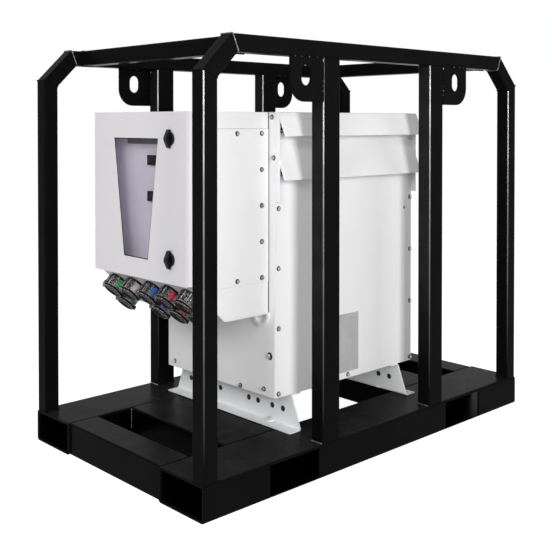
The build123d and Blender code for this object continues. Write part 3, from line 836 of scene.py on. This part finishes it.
def column_places(row):
    """Seat points of a row of connectors, from the frame."""
    low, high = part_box(f"connector_covers_{row}")
    middle = (low + high) / 2
    first = low.y + COVER_RADIUS
    pitch = (high.y - low.y - COVER_RADIUS * 2) / (COLUMNS - 1)
    seat = Vector((middle.x, 0, middle.z)) - OUT * COVER_LENGTH / 2
    return [(k, seat + Vector((0, first + k * pitch, 0))) for k in range(COLUMNS) if k not in MISSING[row]]


def flip_cover(build, seat, clear_from):
    """Barrel with a clear sector, between a dark flange and a dark lid; its hinge is on the +Y side."""
    matrix = Matrix.Translation(seat) @ Matrix((Vector((0, 1, 0)), UP_SLOPE, OUT)).transposed().to_4x4()
    # The glint lid edge and glint rim are painted highlight rings
    for profile, finish_index in (
        (FLANGE_PROFILE, DARK), (LID_RING, DARK), (LID_DISC, DARK), (LID_EDGE, GLINT), (RIM_RING, GLINT),
    ):
        lathe(build, matrix, profile, ROUND, material=finish_index)
    sector(build, matrix, BARREL_WALL, clear_from, CLEAR_TO, CLEAR)
    sector(build, matrix, BARREL_WALL, CLEAR_TO, clear_from + 360, BODY)
    for turn, finish_index in RIB_TURNS:
        turned = matrix @ Matrix.Rotation(math.radians(turn), 4, "Z")
        low = (RIB_RADII[0], -RIB_WIDTH / 2, RIB_SPAN[0])
        high = (RIB_RADII[1], RIB_WIDTH / 2, RIB_SPAN[1])
        rounded_box(build, low, high, RIB_EDGE, finish_index, turned)
    hinge = matrix @ Matrix.Rotation(math.radians(HINGE_TURN), 4, "Z")
    for low, high, edge, finish_index in HINGE_BLOCKS:
        rounded_box(build, low, high, edge, finish_index, hinge)


for row in ("upper", "lower"):
    covers = bmesh.new()
    inserts = bmesh.new()
    for k, seat in column_places(row):
        flip_cover(covers, seat, CLEAR_FROM[row])
        lathe(inserts, facing(seat, OUT), COLLAR_PROFILE, ROUND, material=0)
        core_place = facing(seat + SLEEVE_SHIFT, OUT)
        lathe(inserts, core_place, SLEEVE_PROFILE, ROUND, material=1 + k)
        lathe(inserts, core_place, PIN_PROFILE, PIN_SIDES, material=1 + COLUMNS)
    shell = piece(f"flip_covers_{row}", covers, COVER_FINISHES, "base")
    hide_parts(f"connector_covers_{row}")
    finishes = [black_plastic, *INSERT_FINISHES, brass]
    core = piece(f"pole_inserts_{row}", inserts, finishes, "base")
    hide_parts(f"connector_inserts_{row}")


# Turn latches
LATCH_GAP = 0.0003
LATCH_DISC_RADIUS = 0.020
LATCH_DISC = 0.005
LATCH_ROUNDINGS = (0.0015, 0.0045)
LATCH_RIM_SHARES = (0.5, 0.9)
WING_SEAT = 0.003
WING_HALF = 0.0275
WING_WIDTH = 0.014
WING_END = 0.011
WING_PEAK = 0.022
WING_FLAT = 0.004
WING_EDGE = 0.0028
CAM_EDGE = 0.001
LATCH_SHAFT_RADIUS = 0.006
CAM_REACH = 0.046
CAM_WIDTH = 0.014
CAM_SETBACK = 0.029
CAM_THICKNESS = 0.004
for joint in frame["joints"]:
    if not joint["child"].endswith("_latch"):
        continue
    node = "latch_" + joint["child"].split("_")[0]
    centre = Vector(joint["pos_m"])
    seat = Vector((door_low.x - LATCH_GAP, centre.y, centre.z))
    matrix = facing(seat, (-1, 0, 0))
    mesh = bmesh.new()
    rim = LATCH_DISC_RADIUS
    disc = [
        (0, -CAM_SETBACK), (LATCH_SHAFT_RADIUS, -CAM_SETBACK), (LATCH_SHAFT_RADIUS, 0), (rim, 0),
        (rim, LATCH_DISC * LATCH_RIM_SHARES[0]),
        (rim - LATCH_ROUNDINGS[0], LATCH_DISC * LATCH_RIM_SHARES[1]),
        (rim - LATCH_ROUNDINGS[1], LATCH_DISC), (0, LATCH_DISC),
    ]
    lathe(mesh, matrix, disc, ROUND)
    outline = [
        (WING_SEAT, -WING_HALF), (WING_END, -WING_HALF), (WING_PEAK, -WING_FLAT),
        (WING_PEAK, WING_FLAT), (WING_END, WING_HALF), (WING_SEAT, WING_HALF),
    ]
    wing = bmesh.new()
    rows = []
    for y in (-WING_WIDTH / 2, WING_WIDTH / 2):
        rows.append([wing.verts.new(seat + Vector((-out, y, z))) for out, z in outline])
    wing.faces.new(rows[0])
    wing.faces.new(rows[1][::-1])
    for k in range(len(outline)):
        n = (k + 1) % len(outline)
        wing.faces.new((rows[0][n], rows[0][k], rows[1][k], rows[1][n]))
    bmesh.ops.recalc_face_normals(wing, faces=wing.faces[:])
    bmesh.ops.bevel(wing, geom=wing.edges[:], offset=WING_EDGE, segments=3, affect="EDGES", profile=0.5)
    join(mesh, wing)
    cam_low = seat + Vector((CAM_SETBACK, -CAM_REACH, -CAM_WIDTH / 2))
    cam_high = seat + Vector((CAM_SETBACK + CAM_THICKNESS, CAM_WIDTH / 2, CAM_WIDTH / 2))
    rounded_box(mesh, cam_low, cam_high, CAM_EDGE)
    handle = piece(f"turn_{node}", mesh, [black_plastic], joint["child"])
    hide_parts(node)


# Door seal in the gap behind the door
SEAL_INSET = 0.006
SEAL_WIDTH = 0.009
SEAL_DEPTH = 0.006
SEAL_GAP = 0.0003
SEAL_EDGE = 0.001
seal = bmesh.new()
seal_low = (shell_low.y + SEAL_INSET, door_low.z + SEAL_INSET)
seal_high = (shell_high.y - SEAL_INSET, door_high.z - SEAL_INSET)
x0, x1 = shell_low.x - SEAL_DEPTH, shell_low.x - SEAL_GAP
for z in (seal_low[1], seal_high[1] - SEAL_WIDTH):
    rounded_box(seal, (x0, seal_low[0], z), (x1, seal_high[0], z + SEAL_WIDTH), SEAL_EDGE)
z0, z1 = seal_low[1] + SEAL_WIDTH, seal_high[1] - SEAL_WIDTH
for y in (seal_low[0], seal_high[0] - SEAL_WIDTH):
    rounded_box(seal, (x0, y, z0), (x1, y + SEAL_WIDTH, z1), SEAL_EDGE)
piece("door_seal", seal, [rubber], "door")


# Dark rubber rim round the window, in front of the pane: painted shade along the cut edge of the door sheet
WINDOW_TOP_WIDTH = 0.236
WINDOW_BOTTOM_WIDTH = 0.129
SHADE_SEAL_WIDTH = 0.0030
SHADE_SEAL_DEPTH = 0.0012
SHADE_SEAL_EDGE = 0.00024
pane_low, pane_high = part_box("window_pane")
pane_lap = (pane_high.y - pane_low.y - WINDOW_TOP_WIDTH) / 2
window_y = (pane_low.y + pane_high.y) / 2
window_z = (pane_low.z + pane_lap, pane_high.z - pane_lap)
halves = (WINDOW_BOTTOM_WIDTH / 2, WINDOW_TOP_WIDTH / 2)
corners = [
    (window_y - halves[1], window_z[1]), (window_y + halves[1], window_z[1]),
    (window_y + halves[0], window_z[0]), (window_y - halves[0], window_z[0]),
]
centre = Vector((window_y, (window_z[0] + window_z[1]) / 2))
shade_seal = bmesh.new()
rings = []
for inset, depth in ((0, 0), (0, SHADE_SEAL_DEPTH), (SHADE_SEAL_WIDTH, SHADE_SEAL_DEPTH), (SHADE_SEAL_WIDTH, 0)):
    x = pane_low.x - depth
    ring = []
    for y, z in corners:
        inward = Vector((math.copysign(inset, centre.x - y), math.copysign(inset, centre.y - z)))
        ring.append(shade_seal.verts.new((x, y + inward.x, z + inward.y)))
    rings.append(ring)
for one, other in zip(rings, rings[1:] + rings[:1]):
    for k in range(len(corners)):
        n = (k + 1) % len(corners)
        shade_seal.faces.new((one[k], one[n], other[n], other[k]))
bmesh.ops.recalc_face_normals(shade_seal, faces=shade_seal.faces[:])
bmesh.ops.bevel(shade_seal, geom=shade_seal.edges[:], offset=SHADE_SEAL_EDGE, segments=1, affect="EDGES", profile=0.5)
piece("window_shade_seal", shade_seal, [rubber], "door")


# Dark grey strip across the top of the dead front: painted shadow of the door's top edge
STRIP_HEIGHT = 0.040
STRIP_BELOW = 0.0200
STRIP_SHEET = 0.0015
front_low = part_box("dead_front")[0]
strip = bmesh.new()
strip_z = window_z[1] - STRIP_BELOW
low = (front_low.x - STRIP_SHEET, pane_low.y, strip_z)
rounded_box(strip, low, (front_low.x, pane_high.y, strip_z + STRIP_HEIGHT), STRIP_SHEET / 4)
piece("dead_front_shadow_strip", strip, [painted_shadow_grey], "base")


# Bare name plate on the near long side
PLATE_RIGHT = 0.052
PLATE_WIDTH = 0.140
PLATE_LOW = 0.022
PLATE_HIGH = 0.219
PLATE_SHEET = 0.0012
PLATE_EDGE = 0.0004
RIVET_INSET = 0.006
RIVET_PROFILE = (
    (RIVET_RADIUS, 0), (RIVET_RADIUS * 0.8, 0.0008), (RIVET_RADIUS * 0.4, 0.0013), (0, 0.0014),
)
RIVET_SIDES = 16
plate = bmesh.new()
plate_y = wall_low.y
x0, x1 = PLATE_RIGHT - PLATE_WIDTH, PLATE_RIGHT
z0, z1 = case_bottom + PLATE_LOW, case_bottom + PLATE_HIGH
rounded_box(plate, (x0, plate_y - PLATE_SHEET, z0), (x1, plate_y, z1), PLATE_EDGE)
for x in (x0 + RIVET_INSET, x1 - RIVET_INSET):
    for z in (z0 + RIVET_INSET, z1 - RIVET_INSET):
        seat = facing((x, plate_y - PLATE_SHEET, z), (0, -1, 0))
        lathe(plate, seat, RIVET_PROFILE, RIVET_SIDES)
piece("name_plate", plate, [plate_metal], "base")


# Folded lips along the lower edges of the wireway
LIP_DROP = 0.0045
LIP_THICKNESS = 0.0022
LIP_OVERLAP = 0.001
LIP_EDGE = 0.0008
slope_foot_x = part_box("connector_plate")[1].x
lips = bmesh.new()
for y in (shell_low.y, shell_high.y - LIP_THICKNESS):
    low = (slope_foot_x, y, shell_low.z - LIP_DROP)
    high = (wall_low.x - LIP_OVERLAP, y + LIP_THICKNESS, shell_low.z + LIP_OVERLAP)
    rounded_box(lips, low, high, LIP_EDGE)
piece("wireway_lips", lips, [painted_shade_white], "base")

# Seams along the top and bottom edges of the side cover
SEAM_PROUD = 0.0006
seams = bmesh.new()
for z in (side_low.z - SEAM_PROUD, side_high.z):
    low = (side_low.x, shell_low.y - SEAM_PROUD, z)
    rounded_box(seams, low, (side_high.x, shell_low.y, z + SEAM_PROUD), SEAM_PROUD / 4)
piece("cover_seams", seams, [rubber], "base")

# Sealing strip where the wireway meets the case wall
JOINT_WIDTH = 0.0030
JOINT_PROUD = 0.0008
JOINT_GAP = 0.0002
joint_strip = bmesh.new()
x0, x1 = wall_low.x - JOINT_WIDTH, wall_low.x - JOINT_GAP
low_y, high_y = shell_low.y - JOINT_PROUD, shell_high.y + JOINT_PROUD
low_z, high_z = shell_low.z - JOINT_PROUD, shell_high.z + JOINT_PROUD
for y in (low_y, high_y - JOINT_PROUD):
    rounded_box(joint_strip, (x0, y, low_z), (x1, y + JOINT_PROUD, high_z), JOINT_PROUD / 4)
for z in (low_z, high_z - JOINT_PROUD):
    rounded_box(joint_strip, (x0, low_y, z), (x1, high_y, z + JOINT_PROUD), JOINT_PROUD / 4)
piece("wireway_joint", joint_strip, [rubber], "base")


# Camera, lamps, backdrop and floor
lens = bpy.data.cameras.new("photo_camera")
lens.sensor_width = SENSOR
lens.lens = FOCAL_PIXELS / PICTURE_SIDE * SENSOR
lens.shift_y = (PRINCIPAL_ROW - PICTURE_SIDE / 2) / PICTURE_SIDE
camera = bpy.data.objects.new("photo_camera", lens)
camera.location = CAMERA_PLACE
camera.rotation_euler = Euler((math.pi / 2 - CAMERA_PITCH, 0, CAMERA_YAW))
bpy.context.scene.collection.objects.link(camera)
bpy.context.scene.camera = camera

for name, place, width, height, power in LAMPS:
    lamp = bpy.data.lights.new(name, "AREA")
    lamp.shape = "RECTANGLE"
    lamp.size = width
    lamp.size_y = height
    lamp.energy = power
    holder = bpy.data.objects.new(name, lamp)
    holder.location = place
    holder.rotation_euler = (Vector(LAMP_TARGET) - Vector(place)).to_track_quat("-Z", "Y").to_euler()
    bpy.context.scene.collection.objects.link(holder)


def seen_rays(tree):
    """One for camera, glossy and transmission rays, zero for the rest."""
    path = tree.nodes.new("ShaderNodeLightPath")
    total = path.outputs["Is Camera Ray"]
    for kind in ("Is Glossy Ray", "Is Transmission Ray"):
        larger = tree.nodes.new("ShaderNodeMath")
        larger.operation = "MAXIMUM"
        tree.links.new(total, larger.inputs[0])
        tree.links.new(path.outputs[kind], larger.inputs[1])
        total = larger.outputs["Value"]
    return total


world = bpy.data.worlds.new("studio")
bpy.context.scene.world = world
world.use_nodes = True
sky = world.node_tree
level = sky.nodes.new("ShaderNodeMapRange")
level.inputs["To Min"].default_value = AMBIENT
level.inputs["To Max"].default_value = 1.0
sky.links.new(seen_rays(sky), level.inputs["Value"])
sky.links.new(level.outputs["Result"], sky.nodes["Background"].inputs["Strength"])
sky.nodes["Background"].inputs["Color"].default_value = (1, 1, 1, 1)

floor_mesh = bpy.data.meshes.new("floor")
floor_corners = [(x * FLOOR_REACH, y * FLOOR_REACH, 0) for x, y in ((-1, -1), (1, -1), (1, 1), (-1, 1))]
floor_mesh.from_pydata(floor_corners, [], [(0, 1, 2, 3)])
floor = bpy.data.objects.new("floor", floor_mesh)
bpy.context.scene.collection.objects.link(floor)
floor_paint = finish(
    "floor_paint", (0.50, 0.50, 0.50), (0.52, 0.52, 0.52), (0.8, 0.9), 0.5, 40.0, 0.0, specular=0.0
)
floor_tree = floor_paint.node_tree
glow = floor_tree.nodes.new("ShaderNodeMapRange")
glow.inputs["To Max"].default_value = FLOOR_GLOW
floor_tree.links.new(seen_rays(floor_tree), glow.inputs["Value"])
floor_shader = floor_tree.nodes["Principled BSDF"]
floor_tree.links.new(glow.outputs["Result"], floor_shader.inputs["Emission Strength"])
floor_shader.inputs["Emission Color"].default_value = (1, 1, 1, 1)
floor_mesh.materials.append(floor_paint)

bpy.context.scene.view_settings.view_transform = "Standard"
